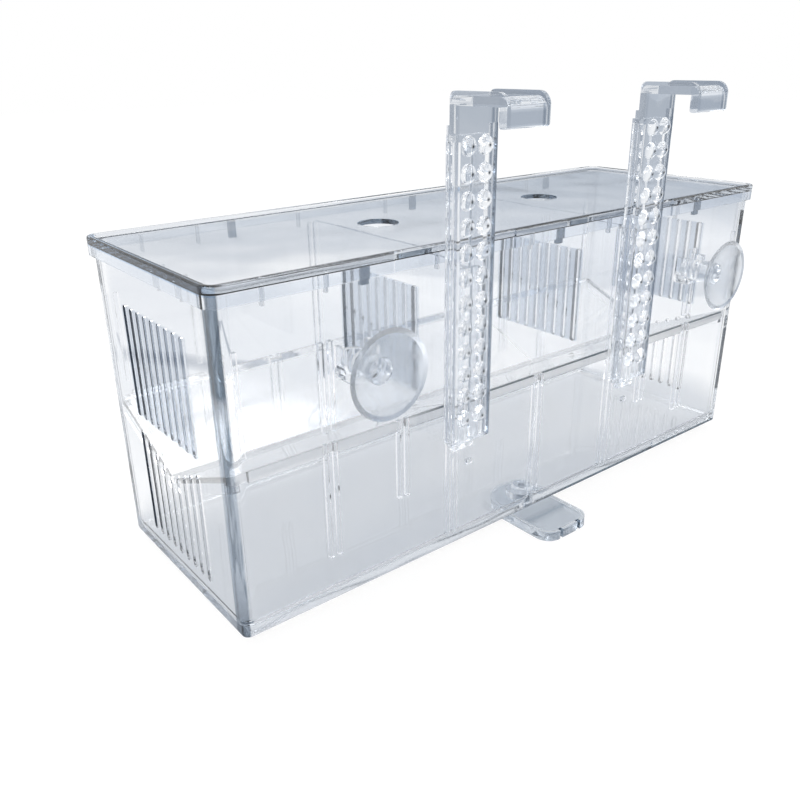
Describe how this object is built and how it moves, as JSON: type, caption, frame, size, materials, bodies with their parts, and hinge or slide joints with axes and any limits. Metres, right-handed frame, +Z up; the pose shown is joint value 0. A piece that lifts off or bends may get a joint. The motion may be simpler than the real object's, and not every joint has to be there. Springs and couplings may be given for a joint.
{
  "type": "fish breeding box",
  "caption": "Clear hang-on fish breeding box with a lid, V-shaped slotted floor, two dividers, studded tank hooks, suction cups and a swivel foot.",
  "frame": {"origin": "middle of the tub's flat underside", "axes": "+X along the length, -Y towards the tank glass and hooks, +Z up"},
  "size_m": [0.27, 0.1215, 0.1658],
  "materials": {
    "clear_box": "clear polystyrene, cool tint, darker at its edges",
    "clear_hook": "clear polystyrene, studded",
    "cup_vinyl": "soft milky-clear vinyl"
  },
  "bodies": {
    "tub": {"tub": "clear_box"},
    "lid": {"lid": "clear_box"},
    "near_ramp": {"near_ramp": "clear_box"},
    "far_ramp": {"far_ramp": "clear_box"},
    "left_divider": {"left_divider": "clear_box"},
    "right_divider": {"right_divider": "clear_box"},
    "left_hook": {"left_hook": "clear_hook"},
    "right_hook": {"right_hook": "clear_hook"},
    "left_cup": {"left_cup": "cup_vinyl"},
    "right_cup": {"right_cup": "cup_vinyl"},
    "foot": {"foot": "clear_box", "foot_cap": "clear_box"}
  },
  "joints": [
    {"name": "lid_lift", "type": "slide", "parent": "tub", "child": "lid", "axis": [0, 0, 1], "range_m": [0, 0.25]},
    {"name": "left_divider_lift", "type": "slide", "parent": "tub", "child": "left_divider", "axis": [0, 0, 1], "range_m": [0, 0.15]},
    {"name": "right_divider_lift", "type": "slide", "parent": "tub", "child": "right_divider", "axis": [0, 0, 1], "range_m": [0, 0.15]},
    {"name": "near_ramp_lift", "type": "slide", "parent": "tub", "child": "near_ramp", "axis": [0, 0, 1], "range_m": [0, 0.09]},
    {"name": "far_ramp_lift", "type": "slide", "parent": "tub", "child": "far_ramp", "axis": [0, 0, 1], "range_m": [0, 0.09]},
    {"name": "left_hook_slide", "type": "slide", "parent": "tub", "child": "left_hook", "axis": [0, 0, 1], "range_m": [-0.0385, 0.068]},
    {"name": "right_hook_slide", "type": "slide", "parent": "tub", "child": "right_hook", "axis": [0, 0, 1], "range_m": [-0.0385, 0.068]},
    {"name": "left_cup_lift", "type": "slide", "parent": "tub", "child": "left_cup", "axis": [0, 0, 1], "range_m": [0, 0.014]},
    {"name": "right_cup_lift", "type": "slide", "parent": "tub", "child": "right_cup", "axis": [0, 0, 1], "range_m": [0, 0.014]},
    {"name": "foot_swivel", "type": "hinge", "parent": "tub", "child": "foot", "pos_m": [0, -0.0367, 0], "axis": [0, 0, 1], "continuous": true}
  ],
  "couplings": [
    {"joint": "left_divider_lift", "follows": "lid_lift", "ratio": 0.6},
    {"joint": "right_divider_lift", "follows": "lid_lift", "ratio": 0.6},
    {"joint": "near_ramp_lift", "follows": "lid_lift", "ratio": 0.36},
    {"joint": "far_ramp_lift", "follows": "lid_lift", "ratio": 0.36}
  ]
}
